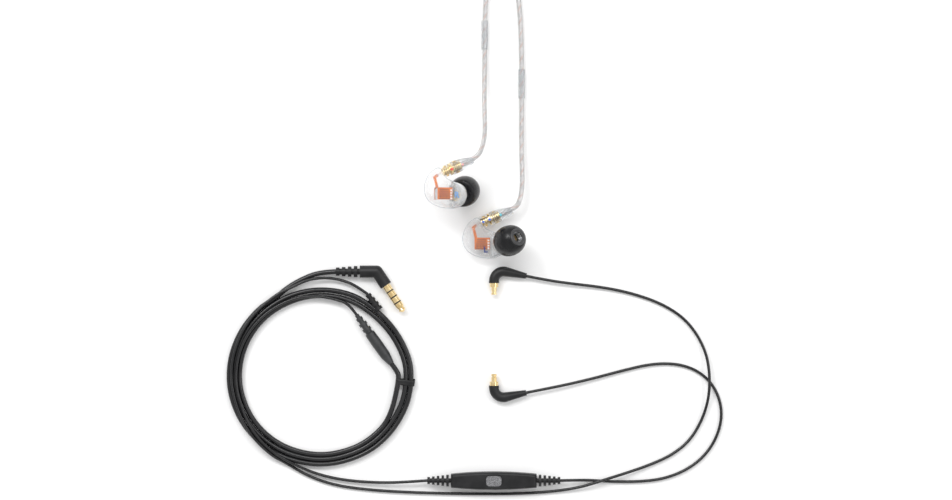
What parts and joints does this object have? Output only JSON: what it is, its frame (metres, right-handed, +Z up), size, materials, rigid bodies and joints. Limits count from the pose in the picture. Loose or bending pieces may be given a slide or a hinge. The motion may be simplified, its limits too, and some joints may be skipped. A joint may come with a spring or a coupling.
{
  "type": "in ear monitors",
  "caption": "Clear-shelled in-ear monitors with foam sleeves on a detachable clear cable, with a coiled black phone cable that has an in-line remote.",
  "frame": {"origin": "on the table, at the middle of the base of the box round the two earphones and their cable boots", "axes": "+Z up from the table, +Y along the clear cable away from the earphones, +X to the right"},
  "size_m": [0.2216, 0.3398, 0.0262],
  "materials": {
    "clear_shell": "clear polished",
    "clear_soft": "clear flexible",
    "clear_cord": "clear jacket over twisted silver strands",
    "gold": "gold plated",
    "driver_can": "satin",
    "flex": "polyimide over copper",
    "nozzle_metal": "satin",
    "screen": "woven",
    "foam": "closed-cell foam",
    "core_tube": "matt",
    "black_cord": "satin",
    "black_moulding": "satin moulded",
    "button_grey": "stippled",
    "board": "lacquered",
    "grey_moulding": "translucent"
  },
  "bodies": {
    "clear_cable": {"right_boot": "clear_soft", "right_mmcx_plug": "gold", "right_plug_pin": "gold", "right_lead": "clear_cord", "right_end_sleeve": "clear_soft", "left_boot": "clear_soft", "left_mmcx_plug": "gold", "left_plug_pin": "gold", "left_lead": "clear_cord", "left_end_sleeve": "clear_soft", "clear_splitter": "grey_moulding", "clear_trunk": "clear_cord", "clear_coil": "clear_cord", "clear_coil_tie": "black_moulding", "clear_plug_lead": "clear_cord", "clear_plug_body": "grey_moulding", "clear_plug_contacts": "gold"},
    "cinch": {"cinch_slider": "grey_moulding"},
    "phone_cable": {"phone_plug_body": "black_moulding", "phone_plug_contacts": "gold", "phone_plug_lead": "black_cord", "phone_coil": "black_cord", "phone_coil_tie": "black_moulding", "phone_split": "black_moulding", "phone_branch_relief": "black_moulding", "phone_arc": "black_cord", "phone_lead_remote": "black_cord", "phone_lead_upper": "black_cord", "phone_lead_lower": "black_cord", "phone_upper_boot": "black_moulding", "phone_upper_mmcx": "gold", "phone_lower_boot": "black_moulding", "phone_lower_mmcx": "gold", "remote_lower_shell": "black_moulding", "remote_upper_shell": "black_moulding", "remote_board": "board", "remote_reliefs": "black_moulding"},
    "talk_key": {"talk_button": "button_grey"},
    "right_ring": {"right_snap_ring": "gold"},
    "right_earphone": {"right_outer_shell": "clear_shell", "right_inner_shell": "clear_shell", "right_woofer": "driver_can", "right_tweeter": "driver_can", "right_flex_circuit": "flex", "right_mmcx_jack": "gold", "right_nozzle": "nozzle_metal", "right_wax_screen": "screen"},
    "right_sleeve": {"right_sleeve_core": "core_tube", "right_sleeve_foam": "foam"},
    "left_ring": {"left_snap_ring": "gold"},
    "left_earphone": {"left_outer_shell": "clear_shell", "left_inner_shell": "clear_shell", "left_woofer": "driver_can", "left_tweeter": "driver_can", "left_flex_circuit": "flex", "left_mmcx_jack": "gold", "left_nozzle": "nozzle_metal", "left_wax_screen": "screen"},
    "left_sleeve": {"left_sleeve_core": "core_tube", "left_sleeve_foam": "foam"}
  },
  "joints": [
    {"name": "right_swivel", "type": "hinge", "parent": "clear_cable", "child": "right_ring", "pos_m": [-0.01215, 0.01634, 0.01974], "axis": [0.8956, 0.3746, -0.24], "continuous": true},
    {"name": "right_unplug", "type": "slide", "parent": "right_ring", "child": "right_earphone", "axis": [-0.8956, -0.3746, 0.24], "range_m": [0, 0.008]},
    {"name": "right_sleeve_off", "type": "slide", "parent": "right_earphone", "child": "right_sleeve", "axis": [0.3249, 0.25, -0.9121], "range_m": [0, 0.01]},
    {"name": "left_swivel", "type": "hinge", "parent": "clear_cable", "child": "left_ring", "pos_m": [0.00497, -0.00551, 0.0048], "axis": [0.9272, 0.3746, 0], "range_deg": [-90, 120]},
    {"name": "left_unplug", "type": "slide", "parent": "left_ring", "child": "left_earphone", "axis": [-0.9272, -0.3746, 0], "range_m": [0, 0.008]},
    {"name": "left_sleeve_off", "type": "slide", "parent": "left_earphone", "child": "left_sleeve", "axis": [0.5499, 0.25, 0.7969], "range_m": [0, 0.01]},
    {"name": "cinch_slide", "type": "slide", "parent": "clear_cable", "child": "cinch", "axis": [0, 1, 0], "range_m": [0, 0.01]},
    {"name": "phone_cable_lift", "type": "slide", "parent": "clear_cable", "child": "phone_cable", "axis": [0, 0, 1], "range_m": [0, 0.05]},
    {"name": "talk_press", "type": "slide", "parent": "phone_cable", "child": "talk_key", "axis": [0, 0, -1], "range_m": [0, 0.0004], "stiffness_N_per_m": 3000}
  ]
}
